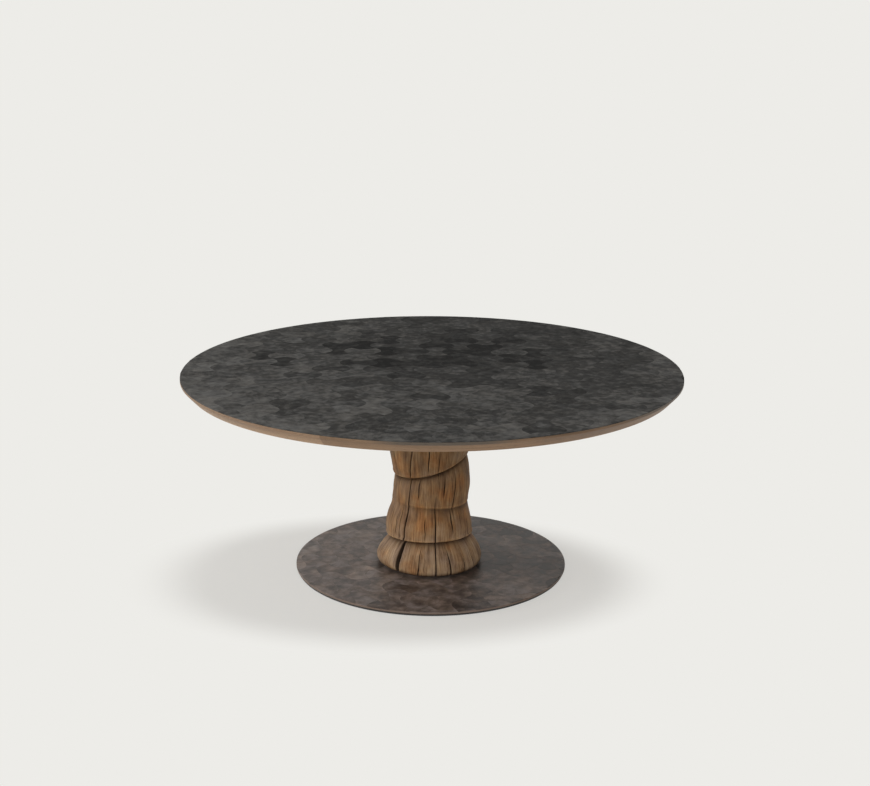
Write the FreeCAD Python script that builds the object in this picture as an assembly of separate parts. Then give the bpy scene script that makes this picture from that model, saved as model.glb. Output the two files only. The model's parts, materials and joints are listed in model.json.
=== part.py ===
import FreeCAD, Part
import math
import os
from collections import namedtuple

# Round pedestal dining table. A tiled disc top with a bevelled wooden edge is carried by an
# old tree trunk, which a climbing vine once strangled into swellings, and the trunk stands on
# a thin tiled disc foot. A steel rod through the trunk clamps it between two steel plates.
# Millimetres. +Z is up and the origin lies on the floor under the middle of the top.
# Angles round the trunk are in degrees from the front (-Y), growing towards +X.

# Overall
TABLE_HEIGHT = 750.0
TOP_DIAMETER = 1800.0
BASE_DIAMETER = 1000.0

# Tiles of the top and of the foot
TILE_THICKNESS = 2.0
TILE_ARRIS = 0.6

# Top: core board, veneer below, wooden edge around
TOP_THICKNESS = 40.0
BACKING_THICKNESS = 2.0
LIPPING_PIECES = 8
LIPPING_WIDTH = 80.0
LIPPING_JOINT_ANGLE = 22.5
LIPPING_LIP = 8.0
LIPPING_BEVEL = 28.0
TONGUE_LENGTH = 12.0
TONGUE_THICKNESS = 10.0

# Foot disc: glides, steel plate, board with a wooden edge
GLIDE_COUNT = 8
GLIDE_DIAMETER = 50.0
GLIDE_THICKNESS = 3.0
GLIDE_INSET = 45.0
GLIDE_CHAMFER = 0.8
BASE_PLATE_THICKNESS = 8.0
BASE_PLATE_SETBACK = 4.0
BASE_BOARD_THICKNESS = 6.0
BASE_LIPPING_PIECES = 6
BASE_LIPPING_WIDTH = 12.0

# Steel plate let into the underside of the top
HEAD_PLATE_DIAMETER = 560.0
HEAD_PLATE_THICKNESS = 8.0
HEAD_PLATE_CLEARANCE = 0.5

# Tie rod, its hub on the foot plate, and its nut and washer on the head plate
ROD_DIAMETER = 16.0
ROD_BORE_CLEARANCE = 2.0
ROD_HUB_DIAMETER = 60.0
ROD_HUB_HEIGHT = 44.0
ROD_PROUD = 3.0
NUT_ACROSS_FLATS = 24.0
NUT_HEIGHT = 13.0
WASHER_DIAMETER = 50.0
WASHER_THICKNESS = 4.0
NUT_POCKET_CLEARANCE = 2.0

# Screws that stop the trunk turning on its two plates
TRUNK_SCREW_COUNT = 4
TRUNK_SCREW_DIAMETER = 10.0
TRUNK_SCREW_HEAD_DIAMETER = 20.0
TRUNK_SCREW_LENGTH = 90.0
HEAD_SCREW_INSET = 45.0
FOOT_SCREW_INSET = 65.0

# Bolts and threaded inserts that hold the top on its plate
BOLT_COUNT = 8
BOLT_DIAMETER = 8.0
BOLT_HEAD_DIAMETER = 16.0
BOLT_LENGTH = 25.0
BOLT_EDGE_MARGIN = 40.0
INSERT_DIAMETER = 12.0
INSERT_LENGTH = 20.0
INSERT_POCKET_SPARE = 1.0

# Fits
GLUE_GAP = 0.2
THREAD_GAP = 0.05
SCREW_HOLE_GAP = 0.5
SOCKET_SHARE_OF_HEAD = 0.5
COUNTERSINK_ANGLE = 90.0

# Trunk: the cross-section is a little out of round
TRUNK_FOOT_RADIUS = 175.0
TRUNK_HEAD_RADIUS = 148.0
OVAL_SHARE = 0.015
OVAL_ANGLE = 70.0
LOBED_SHARE = 0.012
LOBED_ANGLE = 15.0
RING_POINTS = 24
LOFT_SHARES = (0.0, 0.07, 0.18, 0.36, 0.6, 0.8, 0.93, 1.0)

# Each groove is a tilted ring: height as a share of the trunk, rise of its high side above its
# middle, the angle of that high side, and its radius. The first and last are the sawn ends.
Groove = namedtuple("Groove", "share tilt high_angle radius")
GROOVES = (
    Groove(0.0, 0.0, 0.0, TRUNK_FOOT_RADIUS),
    Groove(0.150, 13.0, 15.0, 144.0),
    Groove(0.343, 6.0, -50.0, 134.0),
    Groove(0.551, 43.0, 112.0, 125.0),
    Groove(0.800, 24.0, -70.0, 134.0),
    Groove(1.0, 0.0, 0.0, TRUNK_HEAD_RADIUS),
)

# Each swelling fills the trunk between two grooves: how far it stands out, how much more it does so
# on its fuller side, the angle of that side, a power under 1 that puts its fullest part low, and
# two powers that make it square (near 0), round (1) or hollowed out (over 1) below and above.
Swelling = namedtuple("Swelling", "bulge uneven full_angle skew power_below power_above")
SWELLINGS = (
    Swelling(26.0, 0.16, -90.0, 0.66, 0.75, 0.75),
    Swelling(16.0, 0.35, -88.0, 0.62, 0.68, 1.30),
    Swelling(10.0, 0.40, 85.0, 1.20, 0.80, 0.60),
    Swelling(19.0, 0.12, -75.0, 0.95, 0.60, 0.60),
    Swelling(14.0, 0.20, 60.0, 1.15, 0.65, 0.65),
)

# Drying checks run up the grain: angle and height, as a share of the trunk, of each end, the
# width at each end and the depth. The first two are one long split that gapes in the foot.
DryingCheck = namedtuple("DryingCheck", "low_angle high_angle low high low_width high_width depth")
DRYING_CHECKS = (
    DryingCheck(-41.0, -36.0, -0.01, 0.175, 17.0, 6.0, 95.0),
    DryingCheck(-36.0, -23.0, 0.165, 1.01, 4.5, 2.5, 45.0),
    DryingCheck(6.0, 6.5, -0.01, 0.41, 3.5, 1.5, 38.0),
    DryingCheck(-14.0, -12.0, -0.01, 0.15, 4.0, 1.5, 32.0),
    DryingCheck(23.5, 20.0, -0.01, 0.15, 4.5, 1.5, 34.0),
    DryingCheck(41.5, 40.0, -0.01, 0.09, 3.5, 1.2, 28.0),
    DryingCheck(-62.0, -64.0, 0.53, 0.80, 1.5, 3.0, 30.0),
    DryingCheck(112.0, 108.0, -0.01, 0.34, 5.0, 1.5, 36.0),
    DryingCheck(160.0, 156.0, -0.01, 0.16, 4.0, 1.5, 30.0),
    DryingCheck(-118.0, -112.0, -0.01, 0.55, 5.0, 2.0, 42.0),
    DryingCheck(-160.0, -158.0, 0.36, 1.01, 2.0, 3.5, 36.0),
    DryingCheck(75.0, 71.0, 0.55, 1.01, 1.5, 3.0, 32.0),
)
CHECK_SECTIONS = 5
CHECK_REACH = 60.0

# Heights and radii that follow from the sizes above
TOP_RADIUS = TOP_DIAMETER / 2
BASE_RADIUS = BASE_DIAMETER / 2
UNDERSIDE = TABLE_HEIGHT - TOP_THICKNESS
TILE_UNDERSIDE = TABLE_HEIGHT - TILE_THICKNESS
CORE_UNDERSIDE = UNDERSIDE + BACKING_THICKNESS
CORE_RADIUS = TOP_RADIUS - LIPPING_WIDTH
CORE_MIDDLE = (CORE_UNDERSIDE + TILE_UNDERSIDE) / 2
HEAD_PLATE_TOP = UNDERSIDE + HEAD_PLATE_THICKNESS
HEAD_PLATE_POCKET_RADIUS = HEAD_PLATE_DIAMETER / 2 + HEAD_PLATE_CLEARANCE
ROD_TOP = HEAD_PLATE_TOP + WASHER_THICKNESS + NUT_HEIGHT + ROD_PROUD
BASE_PLATE_TOP = GLIDE_THICKNESS + BASE_PLATE_THICKNESS
BASE_BOARD_TOP = BASE_PLATE_TOP + BASE_BOARD_THICKNESS
BASE_TOP = BASE_BOARD_TOP + TILE_THICKNESS
BASE_PLATE_RADIUS = BASE_RADIUS - BASE_PLATE_SETBACK
BASE_BOARD_RADIUS = BASE_RADIUS - BASE_LIPPING_WIDTH
TRUNK_HEIGHT = UNDERSIDE - BASE_TOP
HEAD_SCREW_CIRCLE = TRUNK_HEAD_RADIUS - HEAD_SCREW_INSET
FOOT_SCREW_CIRCLE = TRUNK_FOOT_RADIUS - FOOT_SCREW_INSET
BOLT_CIRCLE = HEAD_PLATE_DIAMETER / 2 - BOLT_EDGE_MARGIN
ROD_TAPPED_RADIUS = ROD_DIAMETER / 2 + THREAD_GAP

UP = FreeCAD.Vector(0, 0, 1)
AXIS_POINT = FreeCAD.Vector(0, 0, 0)


# Shared shapes

def disc(radius, low, high):
    """A round board or plate on the table's axis, from one height to another."""
    return Part.makeCylinder(radius, high - low, FreeCAD.Vector(0, 0, low))


def turned(profile, sweep=360.0, start=0.0):
    """A solid of revolution about the table's axis from (radius, height) corners."""
    corners = [FreeCAD.Vector(radius, 0, height) for radius, height in profile]
    face = Part.Face(Part.makePolygon(corners + corners[:1]))
    solid = face.revolve(AXIS_POINT, UP, sweep)
    solid.rotate(AXIS_POINT, UP, start)
    return solid


def on_circle(shape, radius, count, first_angle=0.0):
    """Copies of a shape spread evenly on a circle about the table's axis."""
    copies = []
    for number in range(count):
        copy = shape.copy()
        copy.translate(FreeCAD.Vector(radius, 0, 0))
        copy.rotate(AXIS_POINT, UP, first_angle + number * 360.0 / count)
        copies.append(copy)
    return copies


def hexagon(across_flats, low, high):
    """A hexagonal bar on the table's axis."""
    corner_radius = across_flats / math.sqrt(3)
    corners = []
    for number in range(6):
        turn = math.radians(60 * number)
        corners.append(FreeCAD.Vector(corner_radius * math.cos(turn), corner_radius * math.sin(turn), low))
    return Part.Face(Part.makePolygon(corners + corners[:1])).extrude(UP * (high - low))


def countersink_depth(head_diameter, shank_diameter):
    """Height of a countersunk head's cone."""
    return (head_diameter - shank_diameter) / 2 / math.tan(math.radians(COUNTERSINK_ANGLE / 2))


def countersunk_screw(head_diameter, shank_diameter, length, pointed):
    """A countersunk screw with a hexagon socket, head face at height 0, pointing down."""
    cone = countersink_depth(head_diameter, shank_diameter)
    shank = shank_diameter / 2
    tip = length - shank if pointed else length
    profile = [(0, 0), (head_diameter / 2, 0), (shank, -cone), (shank, -tip), (0, -length)]
    socket = hexagon(head_diameter * SOCKET_SHARE_OF_HEAD, -cone * SOCKET_SHARE_OF_HEAD, 0)
    return turned(profile).cut(socket)


def countersunk_hole(head_diameter, shank_diameter, depth, gap):
    """The clearance hole of such a screw, countersink mouth at height 0, going down."""
    cone = countersink_depth(head_diameter, shank_diameter)
    shank = shank_diameter / 2 + gap
    mouth = head_diameter / 2 + gap
    return turned([(0, 0), (mouth, 0), (shank, -cone), (shank, -depth), (0, -depth)])


def upside_down(shape):
    """The shape turned over about the X axis."""
    copy = shape.copy()
    copy.rotate(AXIS_POINT, FreeCAD.Vector(1, 0, 0), 180)
    return copy


def raised(shape, height):
    """The shape lifted to a height."""
    copy = shape.copy()
    copy.translate(FreeCAD.Vector(0, 0, height))
    return copy


# Trunk

def out_of_round(angle):
    """How far the trunk's radius at an angle departs from its mean, as a factor."""
    oval = OVAL_SHARE * math.cos(2 * math.radians(angle - OVAL_ANGLE))
    lobed = LOBED_SHARE * math.cos(3 * math.radians(angle - LOBED_ANGLE))
    return 1 + oval + lobed


def groove_point(groove, angle):
    """Radius and height of a groove at an angle. Its ring lies in one tilted plane."""
    radius = groove.radius * out_of_round(angle)
    rise = groove.tilt * radius / groove.radius * math.cos(math.radians(angle - groove.high_angle))
    return radius, BASE_TOP + groove.share * TRUNK_HEIGHT + rise


def swelling_point(number, angle, share):
    """Radius and height on a swelling, a share of the way from its lower to its upper groove."""
    swelling = SWELLINGS[number]
    low_radius, low_height = groove_point(GROOVES[number], angle)
    high_radius, high_height = groove_point(GROOVES[number + 1], angle)
    power = swelling.power_below + (swelling.power_above - swelling.power_below) * share
    arch = max(0.0, math.sin(math.pi * share ** swelling.skew)) ** power
    fuller = 1 + swelling.uneven * math.cos(math.radians(angle - swelling.full_angle))
    radius = low_radius + (high_radius - low_radius) * share + swelling.bulge * fuller * arch
    return radius, low_height + (high_height - low_height) * share


def trunk_radius(angle, height):
    """Radius of the trunk's surface at an angle and a height."""
    for number in range(len(SWELLINGS)):
        low = groove_point(GROOVES[number], angle)[1]
        high = groove_point(GROOVES[number + 1], angle)[1]
        if height <= high or number == len(SWELLINGS) - 1:
            share = min(1.0, max(0.0, (height - low) / (high - low)))
            return swelling_point(number, angle, share)[0]


def at_angle(angle, radius, height):
    """A point at an angle round the trunk."""
    turn = math.radians(angle)
    return FreeCAD.Vector(radius * math.sin(turn), -radius * math.cos(turn), height)


def trunk_ring(number, share):
    """A closed smooth wire round a swelling."""
    points = []
    for step in range(RING_POINTS):
        angle = 360.0 * step / RING_POINTS + 180.0
        points.append(at_angle(angle, *swelling_point(number, angle, share)))
    curve = Part.BSplineCurve()
    curve.interpolate(Points=points, PeriodicFlag=True)
    return Part.Wire(curve.toShape())


def trunk_body():
    """The trunk as it grew: a loft for each swelling, sewn at the grooves, between sawn ends."""
    faces = []
    for number in range(len(SWELLINGS)):
        rings = [trunk_ring(number, share) for share in LOFT_SHARES]
        faces += Part.makeLoft(rings, False, False).Faces
    faces.append(Part.Face(trunk_ring(0, 0.0)))
    faces.append(Part.Face(trunk_ring(len(SWELLINGS) - 1, 1.0)))
    shell = Part.Compound(faces)
    shell.sewShape()
    return Part.makeSolid(shell.Shells[0])


def drying_check(check):
    """The wedge of air in a drying check, from outside the bark line to its root in the wood."""
    sections = []
    for step in range(CHECK_SECTIONS):
        share = step / (CHECK_SECTIONS - 1)
        angle = check.low_angle + (check.high_angle - check.low_angle) * share
        height = BASE_TOP + (check.low + (check.high - check.low) * share) * TRUNK_HEIGHT
        width = check.low_width + (check.high_width - check.low_width) * share
        surface = trunk_radius(angle, height)
        root = surface - check.depth
        mouth = surface + CHECK_REACH
        half_mouth = width / 2 * (mouth - root) / check.depth
        side = FreeCAD.Vector(math.cos(math.radians(angle)), math.sin(math.radians(angle)), 0) * half_mouth
        middle = at_angle(angle, mouth, height)
        sections.append(Part.makePolygon(
            [at_angle(angle, root, height), middle - side, middle + side, at_angle(angle, root, height)]))
    return Part.makeLoft(sections, True, True)


def trunk():
    """The trunk with its drying checks, its rod bore, its hub pocket and its pilot holes."""
    solid = trunk_body()
    solid = solid.cut([drying_check(check) for check in DRYING_CHECKS])
    hub_top = BASE_PLATE_TOP + ROD_HUB_HEIGHT
    bore = disc(ROD_DIAMETER / 2 + ROD_BORE_CLEARANCE, BASE_TOP, UNDERSIDE)
    hub_pocket = disc(ROD_HUB_DIAMETER / 2 + ROD_BORE_CLEARANCE, BASE_TOP, hub_top + ROD_BORE_CLEARANCE)
    pilot = TRUNK_SCREW_DIAMETER / 2 + THREAD_GAP
    head_pilot = disc(pilot, HEAD_PLATE_TOP - TRUNK_SCREW_LENGTH, UNDERSIDE)
    foot_pilot = disc(pilot, BASE_TOP, GLIDE_THICKNESS + TRUNK_SCREW_LENGTH)
    holes = [bore, hub_pocket]
    holes += on_circle(head_pilot, HEAD_SCREW_CIRCLE, TRUNK_SCREW_COUNT)
    holes += on_circle(foot_pilot, FOOT_SCREW_CIRCLE, TRUNK_SCREW_COUNT)
    return solid.cut(holes)


# Top

def tile_sheet(radius, low):
    """The tile layer of the top or of the foot, laid edge to edge, with its outer arris eased."""
    high = low + TILE_THICKNESS
    return turned([(0, low), (radius, low), (radius, high - TILE_ARRIS), (radius - TILE_ARRIS, high), (0, high)])


def top_core():
    """The core board, grooved for the edge and pocketed for the plate, nut and inserts."""
    core = disc(CORE_RADIUS, CORE_UNDERSIDE, TILE_UNDERSIDE)
    half_groove = TONGUE_THICKNESS / 2 + GLUE_GAP
    groove_root = CORE_RADIUS - TONGUE_LENGTH - GLUE_GAP
    groove = turned([
        (groove_root, CORE_MIDDLE - half_groove), (TOP_RADIUS, CORE_MIDDLE - half_groove),
        (TOP_RADIUS, CORE_MIDDLE + half_groove), (groove_root, CORE_MIDDLE + half_groove)])
    plate_pocket = disc(HEAD_PLATE_POCKET_RADIUS, CORE_UNDERSIDE, HEAD_PLATE_TOP)
    nut_pocket = disc(WASHER_DIAMETER / 2 + NUT_POCKET_CLEARANCE, HEAD_PLATE_TOP, ROD_TOP + NUT_POCKET_CLEARANCE)
    insert_hole = disc(
        INSERT_DIAMETER / 2 + GLUE_GAP, HEAD_PLATE_TOP,
        max(HEAD_PLATE_TOP + INSERT_LENGTH, UNDERSIDE + BOLT_LENGTH) + INSERT_POCKET_SPARE)
    return core.cut([groove, plate_pocket, nut_pocket] + on_circle(insert_hole, BOLT_CIRCLE, BOLT_COUNT))


def top_backing():
    """The balancing veneer under the core, open round the head plate."""
    ring = disc(CORE_RADIUS, UNDERSIDE, CORE_UNDERSIDE)
    return ring.cut(disc(HEAD_PLATE_POCKET_RADIUS, UNDERSIDE, CORE_UNDERSIDE))


def top_lipping(number):
    """One length of the bevelled wooden edge, with the tongue that sits in the core's groove."""
    inner = CORE_RADIUS + GLUE_GAP
    tongue_end = CORE_RADIUS - TONGUE_LENGTH
    tongue_low = CORE_MIDDLE - TONGUE_THICKNESS / 2
    tongue_high = CORE_MIDDLE + TONGUE_THICKNESS / 2
    profile = [
        (inner, TILE_UNDERSIDE), (TOP_RADIUS, TILE_UNDERSIDE), (TOP_RADIUS, TILE_UNDERSIDE - LIPPING_LIP),
        (TOP_RADIUS - LIPPING_BEVEL, UNDERSIDE), (inner, UNDERSIDE), (inner, tongue_low),
        (tongue_end, tongue_low), (tongue_end, tongue_high), (inner, tongue_high)]
    sweep = 360.0 / LIPPING_PIECES
    return turned(profile, sweep, LIPPING_JOINT_ANGLE + number * sweep)


def top_inserts():
    """The threaded inserts glued into the core."""
    insert = disc(INSERT_DIAMETER / 2, HEAD_PLATE_TOP, HEAD_PLATE_TOP + INSERT_LENGTH)
    insert = insert.cut(disc(BOLT_DIAMETER / 2 + THREAD_GAP, HEAD_PLATE_TOP, HEAD_PLATE_TOP + INSERT_LENGTH))
    return Part.Compound(on_circle(insert, BOLT_CIRCLE, BOLT_COUNT))


def top_bolts():
    """The bolts that go up through the head plate into the inserts."""
    bolt = upside_down(countersunk_screw(BOLT_HEAD_DIAMETER, BOLT_DIAMETER, BOLT_LENGTH, False))
    return Part.Compound(on_circle(raised(bolt, UNDERSIDE), BOLT_CIRCLE, BOLT_COUNT))


# Plates, rod and screws

def head_plate():
    """The steel plate between trunk and top."""
    plate = disc(HEAD_PLATE_DIAMETER / 2, UNDERSIDE, HEAD_PLATE_TOP)
    rod_hole = disc(ROD_DIAMETER / 2 + SCREW_HOLE_GAP, UNDERSIDE, HEAD_PLATE_TOP)
    screw_hole = countersunk_hole(
        TRUNK_SCREW_HEAD_DIAMETER, TRUNK_SCREW_DIAMETER, HEAD_PLATE_THICKNESS, SCREW_HOLE_GAP)
    bolt_hole = countersunk_hole(BOLT_HEAD_DIAMETER, BOLT_DIAMETER, HEAD_PLATE_THICKNESS, SCREW_HOLE_GAP)
    holes = [rod_hole]
    holes += on_circle(raised(screw_hole, HEAD_PLATE_TOP), HEAD_SCREW_CIRCLE, TRUNK_SCREW_COUNT)
    holes += on_circle(raised(upside_down(bolt_hole), UNDERSIDE), BOLT_CIRCLE, BOLT_COUNT)
    return plate.cut(holes)


def trunk_screw():
    """One coach screw with a countersunk head, head face at height 0, pointing down."""
    return countersunk_screw(TRUNK_SCREW_HEAD_DIAMETER, TRUNK_SCREW_DIAMETER, TRUNK_SCREW_LENGTH, True)


def head_screws():
    """The screws down through the head plate into the trunk."""
    return Part.Compound(on_circle(raised(trunk_screw(), HEAD_PLATE_TOP), HEAD_SCREW_CIRCLE, TRUNK_SCREW_COUNT))


def foot_screws():
    """The screws up through the foot disc into the trunk."""
    screw = raised(upside_down(trunk_screw()), GLIDE_THICKNESS)
    return Part.Compound(on_circle(screw, FOOT_SCREW_CIRCLE, TRUNK_SCREW_COUNT))


def tie_rod():
    """The rod from the hub of the foot plate to the nut above the head plate."""
    return disc(ROD_DIAMETER / 2, BASE_PLATE_TOP, ROD_TOP)


def tie_rod_washer():
    """The washer under the rod's nut."""
    washer = disc(WASHER_DIAMETER / 2, HEAD_PLATE_TOP, HEAD_PLATE_TOP + WASHER_THICKNESS)
    return washer.cut(disc(ROD_DIAMETER / 2 + SCREW_HOLE_GAP, HEAD_PLATE_TOP, HEAD_PLATE_TOP + WASHER_THICKNESS))


def tie_rod_nut():
    """The nut that clamps the trunk between the two plates."""
    low = HEAD_PLATE_TOP + WASHER_THICKNESS
    high = low + NUT_HEIGHT
    return hexagon(NUT_ACROSS_FLATS, low, high).cut(disc(ROD_TAPPED_RADIUS, low, high))


# Foot disc

def base_plate():
    """The heavy steel plate that keeps the table upright."""
    plate = disc(BASE_PLATE_RADIUS, GLIDE_THICKNESS, BASE_PLATE_TOP)
    screw_hole = countersunk_hole(
        TRUNK_SCREW_HEAD_DIAMETER, TRUNK_SCREW_DIAMETER, BASE_PLATE_THICKNESS, SCREW_HOLE_GAP)
    holes = on_circle(raised(upside_down(screw_hole), GLIDE_THICKNESS), FOOT_SCREW_CIRCLE, TRUNK_SCREW_COUNT)
    return plate.cut(holes)


def rod_hub():
    """The tapped hub welded on the foot plate, which takes the rod's lower end."""
    top = BASE_PLATE_TOP + ROD_HUB_HEIGHT
    return disc(ROD_HUB_DIAMETER / 2, BASE_PLATE_TOP, top).cut(disc(ROD_TAPPED_RADIUS, BASE_PLATE_TOP, top))


def base_layer_holes(low, high):
    """Holes through a layer of the foot disc for the hub and the foot screws."""
    screw_hole = disc(TRUNK_SCREW_DIAMETER / 2 + SCREW_HOLE_GAP, low, high)
    holes = on_circle(screw_hole, FOOT_SCREW_CIRCLE, TRUNK_SCREW_COUNT)
    return holes + [disc(ROD_HUB_DIAMETER / 2 + SCREW_HOLE_GAP, low, high)]


def base_board():
    """The board that carries the tiles of the foot."""
    board = disc(BASE_BOARD_RADIUS, BASE_PLATE_TOP, BASE_BOARD_TOP)
    return board.cut(base_layer_holes(BASE_PLATE_TOP, BASE_BOARD_TOP))


def base_mosaic():
    """The tile layer of the foot."""
    return tile_sheet(BASE_RADIUS, BASE_BOARD_TOP).cut(base_layer_holes(BASE_BOARD_TOP, BASE_TOP))


def base_lipping(number):
    """One length of the thin wooden edge of the foot."""
    inner = BASE_BOARD_RADIUS + GLUE_GAP
    profile = [
        (inner, BASE_PLATE_TOP), (BASE_RADIUS, BASE_PLATE_TOP),
        (BASE_RADIUS, BASE_BOARD_TOP), (inner, BASE_BOARD_TOP)]
    sweep = 360.0 / BASE_LIPPING_PIECES
    return turned(profile, sweep, number * sweep)


def base_glides():
    """The felt glides under the foot plate."""
    radius = GLIDE_DIAMETER / 2
    glide = turned([
        (0, 0), (radius - GLIDE_CHAMFER, 0), (radius, GLIDE_CHAMFER),
        (radius, GLIDE_THICKNESS), (0, GLIDE_THICKNESS)])
    return Part.Compound(on_circle(glide, BASE_PLATE_RADIUS - GLIDE_INSET, GLIDE_COUNT))


def pieces():
    """Every piece of the table under its name."""
    made = {
        "top_mosaic": tile_sheet(TOP_RADIUS, TILE_UNDERSIDE),
        "top_core": top_core(),
        "top_backing": top_backing(),
        "top_inserts": top_inserts(),
        "top_bolts": top_bolts(),
        "head_plate": head_plate(),
        "head_screws": head_screws(),
        "tie_rod": tie_rod(),
        "tie_rod_washer": tie_rod_washer(),
        "tie_rod_nut": tie_rod_nut(),
        "trunk": trunk(),
        "foot_screws": foot_screws(),
        "rod_hub": rod_hub(),
        "base_plate": base_plate(),
        "base_board": base_board(),
        "base_mosaic": base_mosaic(),
        "base_glides": base_glides(),
    }
    for number in range(LIPPING_PIECES):
        made[f"top_lipping_{number + 1}"] = top_lipping(number)
    for number in range(BASE_LIPPING_PIECES):
        made[f"base_lipping_{number + 1}"] = base_lipping(number)
    return made


os.makedirs("parts", exist_ok=True)
for name, shape in pieces().items():
    shape.exportStep(f"parts/{name}.step")
    print(f"{name}: {len(shape.Solids)} solid(s), {shape.Volume / 1e6:.3f} litres, valid {shape.isValid()}")
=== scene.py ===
# %% [markdown]
# # A round table on an old tree trunk
#
# The table is a tiled disc top with a bevelled wooden edge, an old trunk that a climbing vine
# once strangled, and a thin tiled disc foot. The measured solids of the frame give every size.
# This lesson keeps the turned and flat pieces as they are and gives them a finish. The tiles and
# the trunk are made again in finer form, because their joints, cracks and grain are what the eye
# goes to first.

# %% Load the frame and keep its box
import json
import math

import bpy
import numpy as np
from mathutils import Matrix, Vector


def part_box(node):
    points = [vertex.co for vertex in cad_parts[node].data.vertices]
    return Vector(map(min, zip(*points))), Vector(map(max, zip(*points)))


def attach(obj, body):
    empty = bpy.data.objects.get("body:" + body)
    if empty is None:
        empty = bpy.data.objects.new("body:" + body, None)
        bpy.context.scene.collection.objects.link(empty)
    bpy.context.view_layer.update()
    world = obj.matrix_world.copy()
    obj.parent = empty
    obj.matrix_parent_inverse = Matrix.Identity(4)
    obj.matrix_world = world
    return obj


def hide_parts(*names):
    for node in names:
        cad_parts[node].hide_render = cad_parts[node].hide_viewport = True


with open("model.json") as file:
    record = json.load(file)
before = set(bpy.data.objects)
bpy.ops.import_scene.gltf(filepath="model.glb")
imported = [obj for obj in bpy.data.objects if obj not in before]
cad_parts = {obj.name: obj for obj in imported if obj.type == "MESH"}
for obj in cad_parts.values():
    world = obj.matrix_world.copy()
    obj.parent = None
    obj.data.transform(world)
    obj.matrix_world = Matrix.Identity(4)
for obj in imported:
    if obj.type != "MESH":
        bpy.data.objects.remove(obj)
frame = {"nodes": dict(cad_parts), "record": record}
nodes = frame["nodes"]
slot_of = {part["node"]: part["material_slot"] for part in frame["record"]["subparts"]}
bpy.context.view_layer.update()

top_low, top_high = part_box("top_mosaic")
base_low, base_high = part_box("base_mosaic")
trunk_low, trunk_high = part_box("trunk")
TOP_RADIUS = top_high[0]
BASE_RADIUS = base_high[0]
print(f"{len(nodes)} nodes; top {2 * TOP_RADIUS:.3f} m across, foot {2 * BASE_RADIUS:.3f} m across")

# %% [markdown]
# ## How a finish is written down
#
# Each finish is a small tree of nodes around one surface shader. A few helpers keep the trees
# short: they start a material, set or join the inputs of a node, and add a node and hand on one of
# its outputs.

# %% Helpers for a tree of nodes


def new_finish(name):
    """A material with an empty tree around one surface shader."""
    material = bpy.data.materials.new(name)
    material.use_nodes = True
    return material, material.node_tree, material.node_tree.nodes["Principled BSDF"]


def feed(node, inputs):
    """Joins sockets to a node's inputs, or sets plain values on them."""
    for key, value in inputs.items():
        if isinstance(value, bpy.types.NodeSocket):
            node.id_data.links.new(value, node.inputs[key])
        else:
            node.inputs[key].default_value = value


def add_node(tree, kind, output, inputs=None, **settings):
    """One output of a new node; inputs takes values or the sockets that feed them."""
    node = tree.nodes.new("ShaderNode" + kind)
    for key, value in settings.items():
        setattr(node, key, value)
    feed(node, inputs or {})
    return node.outputs[output]


def next_node(kind, output, inputs, **settings):
    """One output of a new node, in the tree of the first socket that feeds it."""
    sockets = [value for value in inputs.values() if isinstance(value, bpy.types.NodeSocket)]
    return add_node(sockets[0].id_data, kind, output, inputs, **settings)


# %% [markdown]
# Most finishes start from a place: the place of a point on the table, or one that its mesh carries
# for it. Cloudy noise is read there, drawn out along the grain. Patterns add up to a tone, a ramp
# turns the tone into a colour, and colours are multiplied like dyes.

# %% Helpers for patterns and colours


def own_place(tree):
    """Where a point is on the table."""
    return add_node(tree, "TexCoord", "Object")


def attribute(tree, name, output="Fac"):
    """A value that a mesh carries for its finish."""
    return add_node(tree, "Attribute", output, attribute_name=name)


def along_axis(vector, axis):
    """One part of a vector, along X, Y or Z."""
    return next_node("SeparateXYZ", axis, {0: vector})


def stretched(vector, factors):
    """The vector with each of its three parts multiplied."""
    return next_node("VectorMath", "Vector", {0: vector, 1: factors}, operation="MULTIPLY")


def length(vector):
    """How long a vector is."""
    return next_node("VectorMath", "Value", {0: vector}, operation="LENGTH")


def off_middle(place):
    """How far a place is from the upright line through the middle of the table."""
    return length(stretched(place, (1, 1, 0)))


def noise(vector, scale, detail, roughness):
    """A cloudy pattern; scale is in patches per unit of the vector."""
    return next_node("TexNoise", "Fac",
                     {"Vector": vector, "Scale": scale, "Detail": detail, "Roughness": roughness})


def drawn_out(place, patches, detail, roughness):
    """A cloudy pattern with its own number of patches per metre along X, Y and Z."""
    return noise(stretched(place, patches), 1.0, detail, roughness)


def maths(operation, first, second=0.5):
    """The result of one sum on two numbers or sockets."""
    return next_node("Math", 0, {0: first, 1: second}, operation=operation)


def weighted_sum(first, *others):
    """The sum of some patterns, each times its weight."""
    total = maths("MULTIPLY", *first)
    for pattern_and_weight in others:
        total = maths("ADD", total, maths("MULTIPLY", *pattern_and_weight))
    return total


def spread(value, start, end, low, high, curve="SMOOTHSTEP"):
    """A value turned from the range start to end into the range low to high."""
    ranges = {"From Min": start, "From Max": end, "To Min": low, "To Max": high}
    return next_node("MapRange", "Result", {"Value": value, **ranges}, interpolation_type=curve)


def ramp(factor, stops):
    """A colour ramp through (place, colour) stops."""
    colour = next_node("ValToRGB", "Color", {"Fac": factor})
    elements = colour.node.color_ramp.elements
    while len(elements) < len(stops):
        elements.new(0.5)
    for element, (place, shade) in zip(elements, stops):
        element.position = place
        element.color = (*shade, 1.0)
    return colour


def blend(factor, first, second, mode="MIX"):
    """A mix of two colours."""
    mixed = {0: factor, 6: first, 7: second}
    return next_node("Mix", 2, mixed, data_type="RGBA", blend_type=mode)


def dyed(colour, dye, share=1.0):
    """A colour multiplied by another, wholly or in part."""
    return blend(share, colour, dye, "MULTIPLY")


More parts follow.
